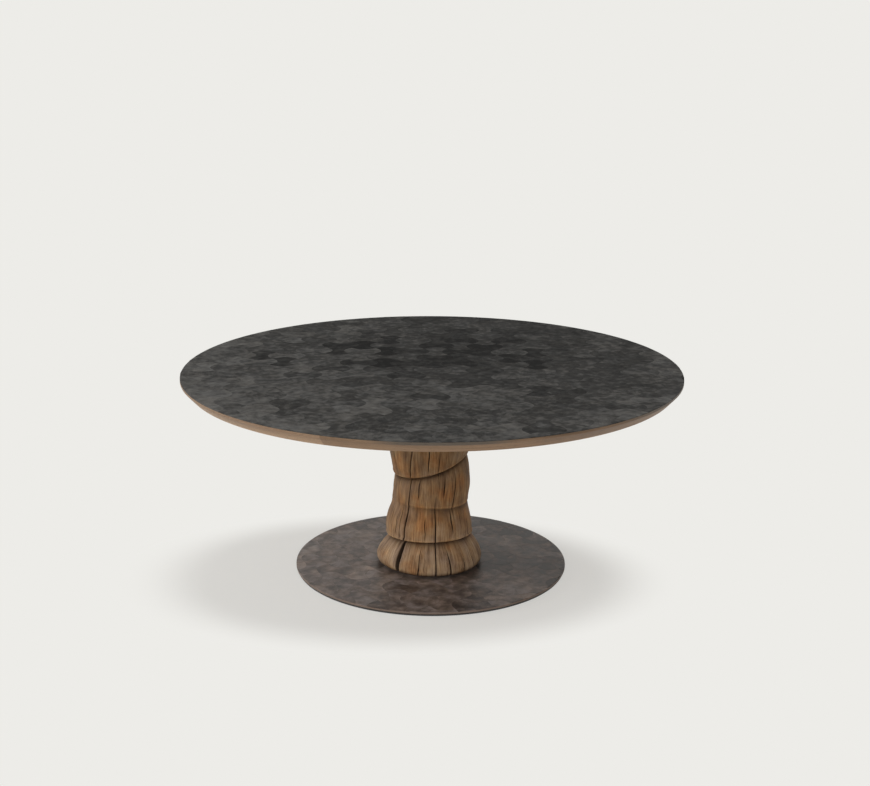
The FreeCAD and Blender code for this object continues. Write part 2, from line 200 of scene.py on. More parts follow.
def relief(height, distance, strength):
    """A fine relief for the surface; distance is its full height in metres."""
    return next_node("Bump", "Normal",
                     {"Height": height, "Distance": distance, "Strength": strength})


print(f"{len(bpy.data.materials)} plain materials come with the frame")

# %% [markdown]
# ## Wood of the edge and of the veneer
#
# The edge of the top is solid hardwood, sawn or bent to the curve and oiled, so its grain runs round
# the table. Turning a place into "distance along the rim" and "distance from the middle" lets one
# pattern of long streaks follow the curve. Fine pores are shorter and darker. Light and shade are
# painted by height: the edge is lighter low down and darker up under the tiles. The underside
# veneer is the same timber with its grain laid straight.

# %% Oiled hardwood
WOOD_STOPS = ((0.28, (0.150, 0.086, 0.046)), (0.48, (0.245, 0.150, 0.085)),
              (0.70, (0.335, 0.218, 0.130)))
# patches per metre along the grain, across it and up
STREAKS, BANDS, PORES = (4.0, 160.0, 160.0), (1.5, 28.0, 28.0), (45.0, 1400.0, 1400.0)
PORE_STOPS = ((0.30, (0.45, 0.42, 0.40)), (0.46, (1, 1, 1)))
PORE_DEPTH = 0.00025
# height in metres, and what the colour of the edge is multiplied by there: painted light low on
# the edge and painted shade up under the tiles
EDGE_PAINTED_LIGHT_AND_SHADE = ((0.713, (1.12, 1.12, 1.12)), (0.741, (0.80, 0.79, 0.78)))
# colour of the streak of painted shade just under the tiles
PAINTED_SHADE_COLOUR = (0.105, 0.082, 0.062, 1.0)


def round_the_table(here):
    """A place as distance along the rim, distance from the middle, and height."""
    turn = maths("ARCTAN2", along_axis(here, "Y"), along_axis(here, "X"))
    return next_node("CombineXYZ", "Vector", {
        "X": maths("MULTIPLY", turn, TOP_RADIUS),
        "Y": off_middle(here),
        "Z": along_axis(here, "Z")})


def painted_shade_streak(place, painted_streak):
    """Where painted shade lies: high on the edge, and fading out to both sides of its middle."""
    middle, reach, heights = painted_streak
    sideways = maths("SUBTRACT", along_axis(place, "X"), middle)
    along = spread(maths("ABSOLUTE", sideways), *reach, 1.0, 0.0)
    up = spread(along_axis(place, "Z"), *heights, 0.0, 1.0)
    return maths("MULTIPLY", along, up)


def hardwood(name, round_the_rim, tint=(1.0, 1.0, 1.0), painted_streak=None):
    """Oiled mid-brown timber whose grain runs round the table or straight across it."""
    material, tree, surface = new_finish(name)
    here = own_place(tree)
    place = round_the_table(here) if round_the_rim else here
    streaks = drawn_out(place, STREAKS, 5.0, 0.6)
    bands = drawn_out(place, BANDS, 2.0, 0.5)
    pores = drawn_out(place, PORES, 2.0, 0.7)
    tone = weighted_sum((streaks, 0.6), (bands, 0.4))
    colour = ramp(tone, [(stop, tuple(np.multiply(shade, tint))) for stop, shade in WOOD_STOPS])
    if round_the_rim:
        # painted light and shade: the edge is lighter low down and darker up under the tiles
        colour = dyed(colour, ramp(along_axis(here, "Z"), EDGE_PAINTED_LIGHT_AND_SHADE))
    # a streak of painted shade high on the edge, just under the tiles
    if painted_streak:
        colour = blend(painted_shade_streak(here, painted_streak), colour, PAINTED_SHADE_COLOUR)
    feed(surface, {
        "Base Color": dyed(colour, ramp(pores, PORE_STOPS)),
        "Roughness": spread(streaks, 0.2, 0.8, 0.45, 0.60),
        "Specular IOR Level": 0.30,
        "Normal": relief(pores, PORE_DEPTH, 0.5)})
    return material


edge_wood = hardwood("oiled_edge_wood", True)
veneer_wood = hardwood("oiled_veneer", False)
print("hardwood finishes:", edge_wood.name, veneer_wood.name)

# %% [markdown]
# Each length of the edge in front has a tint of its own that paints the light on it: the lengths
# on the left are paler and greyer, a painted sheen, and those in front and on the right darker,
# painted shade. The front and right ones also keep a streak of painted shade just under the tiles.
# The edge of the foot is greyer.

# %% Single lengths of the edge
# middle of a streak of painted shade from left to right, where it starts to fade and ends to each
# side, and the heights where it starts and is full, all in metres
FRONT_PAINTED_SHADE = (0.04, (0.12, 0.26), (0.7365, 0.7395))
RIGHT_PAINTED_SHADE = (0.86, (0.10, 0.30), (0.7400, 0.7420))

special_finish = {
    "top_backing": veneer_wood,
    # painted light on the left lengths, with a whitish sheen, and painted shade on those in front and on
    # the right
    "top_lipping_4": hardwood("oiled_edge_wood_painted_light", True, (1.20, 1.24, 1.30)),
    "top_lipping_5": hardwood("oiled_edge_wood_painted_most_light", True, (1.34, 1.42, 1.54)),
    "top_lipping_6": hardwood("oiled_edge_wood_front_painted_shade", True, (0.92, 0.93, 0.95), FRONT_PAINTED_SHADE),
    "top_lipping_7": hardwood("oiled_edge_wood_painted_shade", True, (0.86, 0.88, 0.92), RIGHT_PAINTED_SHADE),
    "top_lipping_8": hardwood("oiled_edge_wood_right_painted_shade", True, (0.84, 0.85, 0.87), RIGHT_PAINTED_SHADE),
}
foot_edge_wood = hardwood("oiled_foot_edge", True, (0.77, 0.92, 1.27))
print(len(special_finish), "pieces have a finish of their own")

# %% [markdown]
# ## Plain finishes of the hidden pieces
#
# The plates are powder coated: a matt black skin with a faint orange-peel. The screws, bolts and
# rod are zinc plated, with cloudy dull patches. The boards are raw fibreboard, a fine mealy
# brown. The glides are felt, a fuzz of short fibres. All are two close colours in patches, over a
# finer relief.

# %% Steel, board and felt
FINER = 6


def cloudy_finish(name, dark, light, scale, roughness, metallic=0.0, grain=0.0002):
    """A finish of two close colours in patches; grain is the height of its relief in metres."""
    material, tree, surface = new_finish(name)
    place = own_place(tree)
    patches = noise(place, scale, 4.0, 0.6)
    fine = noise(place, scale * FINER, 3.0, 0.6)
    feed(surface, {
        "Base Color": ramp(patches, [(0.32, dark), (0.68, light)]),
        "Metallic": metallic,
        "Roughness": roughness,
        "Normal": relief(fine, grain, 0.6)})
    return material


finishes = {
    "edge_wood": edge_wood,
    "dark_steel": cloudy_finish("powder_coated_steel", (0.016, 0.015, 0.014), (0.026, 0.025, 0.023),
                                120, 0.62),
    "bright_steel": cloudy_finish("zinc_plated_steel", (0.46, 0.47, 0.48), (0.63, 0.64, 0.65),
                                  180, 0.36, 1.0, 0.00005),
    "core_board": cloudy_finish("raw_fibreboard", (0.34, 0.24, 0.15), (0.46, 0.33, 0.21), 400, 0.85),
    "felt": cloudy_finish("dark_felt", (0.045, 0.041, 0.038), (0.085, 0.078, 0.070),
                          500, 0.95, 0.0, 0.0006),
}
print("plain finishes:", sorted(finishes))

# %% [markdown]
# ## The tile pattern
#
# Both tiled faces use one old pattern: four-sided tiles shaped like a double axe head. Start from
# a square grid. Bow every side of a square by the same curve, out on two opposite sides and in on
# the other two, and do it the other way round on its neighbours. All tiles are then the same
# shape, and each one lies across the next.

# %% Outline of one tile
TILE_PITCH = 0.0926
TILE_BOW = 0.0241
SIDE_STEPS = 10


def bowed_side(start, end, sideways):
    """Points from start up to, not including, end along half a wave that bows to one side."""
    along = np.linspace(0, 1, SIDE_STEPS, endpoint=False)
    wave = np.outer(TILE_BOW * np.sin(np.pi * along), sideways)
    return start + np.outer(along, end - start) + wave


def turned(points, turn):
    """Flat points turned about the middle by an angle."""
    c, s = math.cos(turn), math.sin(turn)
    return points @ np.array(((c, s), (-s, c)))


def tile_outline(column, row, origin, turn):
    """The outline of the tile in a column and row of a turned grid, counter-clockwise."""
    steps = ((0, 0), (1, 0), (1, 1), (0, 1))
    corners = [origin + TILE_PITCH * np.array((column + x, row + y), float) for x, y in steps]
    out = 1.0 if (column + row) % 2 == 0 else -1.0
    bows = np.array(((0.0, -out), (-out, 0.0), (0.0, out), (out, 0.0)))
    sides = [bowed_side(corners[k], corners[(k + 1) % 4], bows[k]) for k in range(4)]
    return turned(np.concatenate(sides), turn)


print(f"one tile has {len(tile_outline(0, 0, np.zeros(2), 0.0))} outline points")

# %% [markdown]
# At the rim the tiles are cut to the circle. Every corner of the pattern is square, so a thin joint
# can be cut by moving each side in by half the joint's width.

# %% Cut tiles and joints
ARC_STEP = 0.006
TINY = 1e-12
LONGEST_MITRE = 1.6


def circle_crossing(here, after, radius):
    """Where the line between a point inside the circle and one outside it meets the circle."""
    step = after - here
    a, b, c = step @ step, 2 * here @ step, here @ here - radius * radius
    root = math.sqrt(max(0.0, b * b - 4 * a * c))
    share = ((root if c <= 0 else -root) - b) / (2 * a)
    return here + step * share


def arc_between(first, last, radius):
    """Points along the circle between two of its points, counter-clockwise."""
    start, end = math.atan2(first[1], first[0]), math.atan2(last[1], last[0])
    sweep = (end - start) % (2 * math.pi)
    if sweep > math.pi:
        return []
    steps = max(1, int(sweep * radius / ARC_STEP))
    turns = start + sweep * np.arange(1, steps) / steps
    return [np.array((radius * math.cos(turn), radius * math.sin(turn))) for turn in turns]


def cut_round(outline, radius):
    """The part of an outline inside a circle about the middle of the table."""
    kept = []
    leaving = None
    for here, after in zip(outline, np.roll(outline, -1, axis=0)):
        inside, inside_after = np.hypot(*here) <= radius, np.hypot(*after) <= radius
        if inside:
            kept.append(here)
        if inside != inside_after:
            kept.append(circle_crossing(here, after, radius))
            if inside:
                leaving = len(kept)
    if leaving is None:
        return np.array(kept)
    first, last = kept[leaving - 1], kept[leaving % len(kept)]
    return np.array(kept[:leaving] + arc_between(first, last, radius) + kept[leaving:])


def drawn_in(outline, distance):
    """An outline with every side moved in by a distance."""
    before, after = outline - np.roll(outline, 1, axis=0), np.roll(outline, -1, axis=0) - outline
    before /= np.linalg.norm(before, axis=1)[:, None] + TINY
    after /= np.linalg.norm(after, axis=1)[:, None] + TINY
    along = before + after
    normals = np.stack([-along[:, 1], along[:, 0]], axis=1)
    size = np.linalg.norm(normals, axis=1)[:, None] + TINY
    return outline + normals / size * distance * np.minimum(2 / size, LONGEST_MITRE)


whole_tile = tile_outline(0, 0, np.zeros(2), 0.0)
print(f"cut along its middle, it has {len(cut_round(whole_tile, TILE_PITCH / 2))} points")

# %% [markdown]
# ## Laying the tiles
#
# A tiler starts from the middle and trims the tiles that meet the rim. Each tile is a small slab
# with an eased top edge, and its face leans a hair. It carries two values for its finish: a tone,
# and a place on the slab it was cut from, turned so that its grain lies its own way. All tiles of
# a face are one mesh.

# %% Build a tiled face
TILE_JOINT = 0.0004
TILE_EASING = 0.0004
TILE_LEAN = 0.004
TILE_DIP = 0.0002
SLAB_SPREAD = 9.0
SPARE_ROWS = 4
FEWEST_POINTS = 6


def placed(name, data):
    """A new object in the scene, made of a mesh, a lamp or a camera."""
    made = bpy.data.objects.new(name, data)
    bpy.context.collection.objects.link(made)
    return made


def mesh_piece(name, points, faces):
    """A new object in the scene, made of points and faces."""
    mesh = bpy.data.meshes.new(name)
    mesh.from_pydata(points, [], faces)
    return placed(name, mesh)


def carry(piece, name, values, domain="POINT"):
    """Lets a piece carry a number or a place for each of its points or faces."""
    values = np.asarray(values, float)
    kind, key = ("FLOAT", "value") if values.ndim == 1 else ("FLOAT_VECTOR", "vector")
    piece.data.attributes.new(name, kind, domain).data.foreach_set(key, values.ravel())


def tile_rings(outline, low, high, lean):
    """The three rings of a tile: its foot, the edge under the easing, and its leaning face."""
    lower = drawn_in(outline, TILE_JOINT / 2)
    upper = drawn_in(outline, TILE_JOINT / 2 + TILE_EASING)
    face_height = np.minimum(high, high - TILE_DIP + (upper - outline.mean(axis=0)) @ lean)
    return [np.column_stack([lower, np.full(len(lower), low)]),
            np.column_stack([lower, np.full(len(lower), high - TILE_EASING)]),
            np.column_stack([upper, face_height])]


def wall_faces(count, rings, start=0):
    """Four-sided faces between rings of points, from the point with the number start on."""
    ring = np.arange(count)
    ahead = (ring + 1) % count
    wall = np.stack([ring, ahead, ahead + count, ring + count], axis=1) + start
    return [face for step in range(rings - 1) for face in (wall + step * count).tolist()]


def lay_tiles(name, radius, low, high, origin, grid_turn, tone_at, seed):
    """All tiles of one round face as a mesh object, with tone and slab place for the finish."""
    chance = np.random.default_rng(seed)
    reach = int(radius / TILE_PITCH) + SPARE_ROWS
    points, faces, tones, places = [], [], [], []
    laid = 0
    for column in range(-reach, reach):
        for row in range(-reach, reach):
            tone_chance, turn, slab_x, slab_y, lean_x, lean_y = chance.random(6)
            whole = tile_outline(column, row, np.array(origin), math.radians(grid_turn))
            outline = cut_round(whole, radius)
            if len(outline) < FEWEST_POINTS:
                continue
            middle, count = outline.mean(axis=0), len(outline)
            lean = np.array((lean_x - 0.5, lean_y - 0.5)) * TILE_LEAN
            slab_middle = np.array((slab_x, slab_y)) * SLAB_SPREAD
            for ring in tile_rings(outline, low, high, lean):
                on_slab = turned(ring[:, :2] - middle, 2 * math.pi * turn) + slab_middle
                points += ring.tolist()
                places += np.column_stack([on_slab, np.full(count, turn)]).tolist()
            start = len(points) - 3 * count
            faces += wall_faces(count, 3, start) + [list(range(start + 2 * count, len(points)))]
            tones += [tone_at(middle, tone_chance)] * (2 * count + 1)
            laid += 1
    tiles = mesh_piece(name, points, faces)
    carry(tiles, "tile_tone", tones, "FACE")
    carry(tiles, "slab_place", places)
    print(f"{name}: {laid} tiles")
    return tiles


# %% [markdown]
# The tone of a tile changes smoothly over the face, and this paints the light: the top is paler on
# the left and towards its rim, a painted sheen, and darker to the right and at the back, painted
# shade, and the foot is paler on the left and in front. Chance does the rest. Behind the middle of
# the top more tiles are dark than elsewhere. The few tiles that stand out at first sight, dark or
# light, are given by their places in metres.

# %% Tones of the tiles
TOP_GRID, TOP_GRID_TURN, TOP_SEED = (0.1467, 0.0380), -1.85, 11
BASE_GRID, BASE_GRID_TURN, BASE_SEED = (0.0174, 0.0304), -14.68, 23
RIM_GAP = 0.0002
# tone in the middle, its slopes to the right and to the back, and how it bends along both; the
# slopes and bends are painted light and shade
TOP_TONE_AND_PAINTED_LIGHT = (0.44, -0.12, -0.14, 0.34, 0.18)
TOP_DARK_TONE_AND_PAINTED_LIGHT = (0.25, -0.14, -0.28)
# on the foot the slopes paint light and shade: paler on the left and in front, darker on the right
BASE_TONE_AND_PAINTED_LIGHT = (0.52, -0.50, -0.15)
TOP_CHANCE, BASE_CHANCE = 0.29, 0.36
# place of the dark patch behind the middle, its reach sideways and back, the share of dark tiles
# in it, and how much darker they are
PATCH_BACK, PATCH_REACH, PATCH_SHARE, PATCH_TONE = 0.22, (0.40, 0.22), 0.45, 0.10
TOP_DARKEST = ((-0.18, 0.09), (-0.26, 0.37), (-0.17, 0.27))
TOP_DARK = ((0.02, 0.36), (0.38, 0.07), (0.01, 0.18), (0.11, 0.27), (-0.47, -0.46), (-0.47, -0.55),
            (0.36, -0.76), (-0.64, 0.20), (-0.20, -0.74), (-0.55, 0.10), (0.20, 0.36), (0.37, -0.30),
            (0.29, 0.17), (-0.35, 0.37), (-0.27, 0.09), (-0.08, 0.09))
TOP_LIGHTEST = ((-0.19, -0.47),)
TOP_LIGHT = ((0.18, -0.29), (0.09, -0.38), (-0.01, -0.47), (0.09, -0.29), (0.18, -0.48), (0.00, -0.19))
BASE_LIGHT = ((0.25, -0.37), (0.19, -0.25), (0.36, -0.30), (0.27, -0.28))
DARKEST_TONE, LIGHTEST_TONE = 0.08, 0.82


def one_of(middle, places):
    """True if a tile's middle is at one of the places."""
    return any(math.hypot(middle[0] - x, middle[1] - y) < TILE_PITCH / 3 for x, y in places)


def tone_and_painted_light(middle, mean, slope_x, slope_y, bend_x=0.0, bend_y=0.0):
    """A tone that changes smoothly over the face; its slopes and bends are painted light and shade."""
    x, y = middle
    return mean + slope_x * x + slope_y * y + bend_x * x * x + bend_y * y * y


def lightened(tone, least, more):
    """A tone that is brought up to a least one and then raised."""
    return max(tone, least) + more


def top_tone(middle, chance):
    """Tone of a top tile: chance, paler towards the rim as painted sheen, darkest behind the middle."""
    if one_of(middle, TOP_LIGHTEST):
        return LIGHTEST_TONE
    if one_of(middle, TOP_DARKEST):
        return DARKEST_TONE
    if one_of(middle, TOP_DARK):
        return tone_and_painted_light(middle, *TOP_DARK_TONE_AND_PAINTED_LIGHT)
    tone = tone_and_painted_light(middle, *TOP_TONE_AND_PAINTED_LIGHT) + TOP_CHANCE * (chance - 0.5)
    sideways, back = middle[0] / PATCH_REACH[0], (middle[1] - PATCH_BACK) / PATCH_REACH[1]
    if chance < PATCH_SHARE * math.exp(-sideways ** 2 - back ** 2):
        tone -= PATCH_TONE
    return lightened(tone, 0.54, 0.09) if one_of(middle, TOP_LIGHT) else tone


def base_tone(middle, chance):
    """Tone of a foot tile: chance, most on the right, and painted light, paler on the left and in front."""
    uneven = BASE_CHANCE * (1.0 + max(middle[0], 0.0))
    tone = tone_and_painted_light(middle, *BASE_TONE_AND_PAINTED_LIGHT) + uneven * (chance - 0.5)
    return lightened(tone, 0.50, 0.06) if one_of(middle, BASE_LIGHT) else tone


top_tiles = lay_tiles("top_tiles", TOP_RADIUS - RIM_GAP, top_low[2], top_high[2],
                      TOP_GRID, TOP_GRID_TURN, top_tone, TOP_SEED)
base_tiles = lay_tiles("base_tiles", BASE_RADIUS - RIM_GAP, base_low[2], base_high[2],
                       BASE_GRID, BASE_GRID_TURN, base_tone, BASE_SEED)

# %% [markdown]
# ## Finish of the tiles
#
# The tiles read as a dark slaty stone, honed and waxed, with cloudy patches and fine drifting lines
# that lie another way on each tile and hide most of the joints. The shine is low, so the far side
# of the top doesn't turn white at a shallow view. The foot has the same stone in a browner, paler
# tone, with dust and a painted contact shadow darkening a ring round the trunk. A ramp ends at 1, so
# the tones are scaled to leave room for the lightest clouds.

# %% Honed stone
TONE_STOPS = (0.10, 0.50, 0.90, 1.25)
TONE_SCALE = 0.8
LIGHTEST = 1.5
DRIFT_PATCHES, DRIFT_WEIGHT = (30.0, 190.0, 1.0), 0.34
SPECKS, SPECK_WEIGHT = 700.0, 0.10
TINT_PATCHES, TINT_STOPS = 11.0, ((0.36, (1.05, 0.99, 0.92)), (0.64, (0.95, 1.0, 1.06)))
STONE_RELIEF = 0.00018
# distance from the middle of the table where the dust and painted contact shadow round the trunk
# are thickest and where they end
DUST_AND_SHADE_RING = (0.175, 0.250)
# how dark the ring of dust and painted contact shadow is, and its colour
DUST_AND_SHADE_DEPTH, DUST_AND_SHADE_COLOUR = 0.50, (0.016, 0.012, 0.009, 1.0)


def tile_colour(tree, colours, patterns):
    """The colour for a tile's tone, moved up and down by some weighted patterns."""
    level = attribute(tree, "tile_tone")
    for pattern, weight in patterns:
        change = maths("SUBTRACT", pattern, 0.5)
        level = maths("ADD", level, maths("MULTIPLY", change, weight))
    shades = (*colours, tuple(LIGHTEST * share for share in colours[-1]))
    stops = [(stop * TONE_SCALE, shade) for stop, shade in zip(TONE_STOPS, shades)]
    return ramp(maths("MULTIPLY", level, TONE_SCALE), stops)


def honed_stone(name, colours, cloud_weight, cloud_pattern, tinted, shine, roughness, dust_and_painted_shade=False):
    """Tile stone between three colours, chosen by each tile's tone and its own clouds and veins."""
    material, tree, surface = new_finish(name)
    place = attribute(tree, "slab_place", "Vector")
    clouds = noise(place, *cloud_pattern)
    drift = drawn_out(place, DRIFT_PATCHES, 4.0, 0.6)
    speck = noise(place, SPECKS, 2.0, 0.6)
    patterns = ((clouds, cloud_weight), (drift, DRIFT_WEIGHT), (speck, SPECK_WEIGHT))
    tint = ramp(noise(place, TINT_PATCHES, 2.0, 0.5), TINT_STOPS)
    colour = dyed(tile_colour(tree, colours, patterns), tint, tinted)
    # dust and a painted contact shadow darken a ring round the foot of the trunk
    if dust_and_painted_shade:
        dust_and_shade_share = spread(off_middle(own_place(tree)), *DUST_AND_SHADE_RING, DUST_AND_SHADE_DEPTH, 0.0)
        colour = blend(dust_and_shade_share, colour, DUST_AND_SHADE_COLOUR)
    lines = weighted_sum((drift, 1.0), (speck, 0.5))
    feed(surface, {
        "Base Color": colour,
        "Roughness": spread(clouds, 0.25, 0.75, *roughness, "LINEAR"),
        "Specular IOR Level": shine,
        "Normal": relief(lines, STONE_RELIEF, 0.6)})
    return material


charcoal = ((0.0030, 0.0029, 0.0028), (0.0280, 0.0271, 0.0257), (0.0830, 0.0800, 0.0750))
brown = ((0.030, 0.0245, 0.022), (0.128, 0.102, 0.0905), (0.280, 0.234, 0.210))
top_stone = honed_stone("charcoal_tile", charcoal, 1.3, (34.0, 4.0, 0.52), 0.25, 0.03, (0.60, 0.74))
base_stone = honed_stone("brown_tile", brown, 1.9, (25.0, 4.0, 0.55), 0.8, 0.22, (0.34, 0.48), True)

for tiles, stone, node, slot in ((top_tiles, top_stone, "top_mosaic", "top_tile"),
                                 (base_tiles, base_stone, "base_mosaic", "base_tile")):
    tiles.data.materials.append(stone)
    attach(tiles, "root")
    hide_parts(node)
    print(tiles.name, "stand for", node, "in", stone.name)

# %% [markdown]
# ## The bedding under the tiles
#
# Tiles are set in a bed of grout in their own tone, which also fills most of each joint, so that the
# joints hardly show. A thin disc just above the board, inside the thickness of the tiles, stands for
# it and keeps the pale board from shining through.

# %% Bedding discs
BED_HEIGHT = 0.0015
BED_LIFT = 0.00005
BED_INSET = 0.001
BED_CORNERS = 180


def bed_disc(name, radius, low, grout):
    """A thin disc of grout in the lower part of a tile layer."""
    turns = np.linspace(0, 2 * math.pi, BED_CORNERS, endpoint=False)
    ring = [(radius * math.cos(turn), radius * math.sin(turn)) for turn in turns]
    points = [(x, y, low) for x, y in ring] + [(x, y, low + BED_HEIGHT) for x, y in ring]
    ends = [list(reversed(range(BED_CORNERS))), list(range(BED_CORNERS, 2 * BED_CORNERS))]
    disc = mesh_piece(name, points, ends + wall_faces(BED_CORNERS, 2))
    disc.data.materials.append(grout)
    return disc


top_bedding = cloudy_finish("charcoal_grout", (0.010, 0.010, 0.009), (0.018, 0.017, 0.016), 300, 0.9)
base_bedding = cloudy_finish("brown_grout", (0.058, 0.047, 0.039), (0.088, 0.071, 0.059), 300, 0.9)
for name, radius, low, slot, grout in (
        ("top_tile_bed", TOP_RADIUS, top_low[2], "top_tile", top_bedding),
        ("base_tile_bed", BASE_RADIUS, base_low[2], "base_tile", base_bedding)):
    bed = bed_disc(name, radius - BED_INSET, low + BED_LIFT, grout)
    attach(bed, "root")
    print(f"{name}: {2 * (radius - BED_INSET):.3f} m across")

# %% [markdown]
# ## The form of the trunk
#
# A vine wound round the living trunk and the wood swelled above and below it. Each groove is a
# tilted ring. Between two grooves the trunk arches out: one power sets how square the arch is, and
# another drops its fullest part towards the lower groove, as sap stops there. Above a groove the
# wood rolls over in a small lip, and the groove bites in under it, more on one side than on the
# other. Angles go round from the front of the table towards its right.

# %% Swellings and grooves
TRUNK_BOTTOM, TRUNK_TOP = trunk_low[2], trunk_high[2]
TRUNK_HEIGHT = TRUNK_TOP - TRUNK_BOTTOM

# height as a share of the trunk, rise of the high side, angle of the high side, radius
GROOVES = ((0.0, 0.0, 0, 0.175), (0.150, 0.013, 15, 0.144), (0.343, 0.006, -50, 0.134),
           (0.551, 0.043, 112, 0.125), (0.800, 0.024, -70, 0.134), (1.0, 0.0, 0, 0.148))
# bulge, unevenness, angle of the fuller side, power that drops it, powers that square it below
# and above
SWELLINGS = ((0.026, 0.16, -90, 0.66, 0.75, 0.75), (0.016, 0.35, -88, 0.62, 0.68, 1.30),
             (0.010, 0.40, 85, 1.20, 0.80, 0.60), (0.019, 0.12, -75, 0.95, 0.60, 0.60),
             (0.014, 0.20, 60, 1.15, 0.65, 0.65))
# for each groove: lip above it, bite into it, angle where both are strongest, strength on the far
# side, and how far the wood has closed over the groove there
LIPS = ((0.0, 0.0, 0, 1.0, 0.0), (0.0050, 0.0060, 0, 0.85, 0.0), (0.0016, 0.0020, 48, 0.0, 0.0030),
        (0.0045, 0.0055, 25, 0.75, 0.0), (0.0040, 0.0050, 0, 0.8, 0.0), (0.0, 0.0, 0, 1.0, 0.0))
LIP_RISE, LIP_WIDTH = 0.0095, 0.0070
BITE_WIDTH = 0.0042
CLOSED_WIDTH = 0.018
# waves round the trunk, how strong they are, and the angle of a crest
OUT_OF_ROUND = ((2, 0.015, 70), (3, 0.012, 15))


def hump(distance, width):
    """A smooth hump, 1 at its middle, that dies away over a width."""
    return np.exp(-(distance / width) ** 2)


def lip_strength(number, angle):
    """How strong the lip and bite of a groove are at an angle, up to 1."""
    _, _, strongest, far_side, _ = LIPS[number]
    return far_side + (1 - far_side) * (0.5 + 0.5 * np.cos(np.radians(angle - strongest))) ** 2


def closed_over(number, angle, distance):
    """How far the wood stands out over a groove that has closed, at a distance from it."""
    return LIPS[number][4] * (1 - lip_strength(number, angle)) * hump(distance, CLOSED_WIDTH)


def groove_at(number, angle):
    """Radius and height of a groove at an angle."""
    share, tilt, high_angle, radius = GROOVES[number]
    round_factor = 1 + sum(strength * np.cos(waves * np.radians(angle - crest))
                           for waves, strength, crest in OUT_OF_ROUND)
    rise = tilt * round_factor * np.cos(np.radians(angle - high_angle))
    return radius * round_factor, TRUNK_BOTTOM + share * TRUNK_HEIGHT + rise


def swelling_at(number, angle, share):
    """Radius and height on a swelling, a share of the way between its two grooves."""
    bulge, uneven, full_angle, skew, square_below, square_above = SWELLINGS[number]
    low_radius, low_height = groove_at(number, angle)
    high_radius, high_height = groove_at(number + 1, angle)
    squareness = square_below + (square_above - square_below) * share
    arch = np.clip(np.sin(np.pi * share ** skew), 0, 1) ** squareness
    fuller = 1 + uneven * np.cos(np.radians(angle - full_angle))
    radius = low_radius + (high_radius - low_radius) * share + bulge * fuller * arch
    above, below = share * (high_height - low_height), (1 - share) * (high_height - low_height)
    lip, bite = LIPS[number][:2]
    roll = lip * hump(above - LIP_RISE, LIP_WIDTH) - bite * hump(above, BITE_WIDTH)
    under = LIPS[number + 1][1] * hump(below, BITE_WIDTH)
    radius = radius + roll * lip_strength(number, angle) - under * lip_strength(number + 1, angle)
    radius = radius + closed_over(number, angle, above) + closed_over(number + 1, angle, below)
    return radius, low_height + (high_height - low_height) * share


print(f"trunk {TRUNK_HEIGHT * 1000:.0f} mm tall with {len(SWELLINGS)} swellings")

# %% [markdown]
# ## Drying checks
#
# Old round timber splits along its grain as it dries. One split runs the whole height at the front
# and gapes in the foot. Others open from the foot upwards, and many fine ones stay short. Each
# check is a path of angles over heights with a width along it. The ones listed here are those that
# a visitor sees first.

# %% Paths of the checks
# heights in metres, angles in degrees, widths in metres, deepest point in metres
MAIN_SPLIT = dict(
    heights=(0.019, 0.045, 0.078, 0.105, 0.131, 0.150, 0.195, 0.259, 0.274, 0.337, 0.402, 0.471, 0.71),
    angles=(-40.5, -39.8, -39.4, -39.3, -39.6, -37.6, -37.2, -36.8, -36.6, -34.6, -33.0, -27.4, -21.5),
    widths=(0.015, 0.020, 0.022, 0.017, 0.009, 0.0060, 0.0070, 0.0055, 0.0055, 0.0058, 0.0050, 0.0048,
            0.004),
    depth=0.095)
CHECK_STEPS = 7
WANDER, WANDER_TURNS = 0.5, 9


def short_check(low, high, low_angle, high_angle, width, depth, open_foot=False):
    """A check between two heights, widest in the middle, or at the foot if it opens there."""
    shares = np.linspace(0, 1, CHECK_STEPS)
    opening = (1 - shares) ** 0.7 if open_foot else np.clip(np.sin(np.pi * shares), 0, 1) ** 0.6
    wander = WANDER * np.sin(shares * WANDER_TURNS + low_angle)
    return dict(heights=low + (high - low) * shares, widths=width * opening, depth=depth,
                angles=low_angle + (high_angle - low_angle) * shares + wander)


FOOT = TRUNK_BOTTOM
FRONT_CHECKS = (
    MAIN_SPLIT,
    dict(heights=(FOOT, 0.075, 0.122, 0.285, 0.340, 0.400), angles=(23.5, 22.0, 20.0, 18.5, 20.5, 23.5),
         widths=(0.0066, 0.0054, 0.0, 0.0, 0.0042, 0.0), depth=0.030),
    dict(heights=(FOOT, 0.055, 0.085, 0.200, 0.262, 0.330, 0.425),
         angles=(41.5, 41.0, 40.0, 36.0, 34.5, 38.0, 41.0),
         widths=(0.0046, 0.0040, 0.0, 0.0, 0.0034, 0.0046, 0.0), depth=0.026),
    dict(heights=(FOOT, 0.120, 0.200, 0.262, 0.310), angles=(6.0, 6.2, 6.6, 6.4, 6.8),
         widths=(0.0054, 0.0044, 0.0042, 0.0038, 0.0), depth=0.030),
    short_check(FOOT, 0.128, -14.0, -12.0, 0.0050, 0.030, True),
    short_check(FOOT, 0.110, 56.0, 54.0, 0.0030, 0.018, True),
    short_check(0.385, 0.560, -62.0, -64.0, 0.0050, 0.026),
    short_check(0.160, 0.262, 31.0, 30.0, 0.0048, 0.022),
    short_check(0.290, 0.372, -20.0, -17.5, 0.0040, 0.016),
    short_check(0.395, 0.520, -3.5, -2.0, 0.0040, 0.020),
    short_check(0.145, 0.235, -7.5, -8.0, 0.0030, 0.012),
    short_check(0.150, 0.225, -53.0, -54.0, 0.0032, 0.014),
)
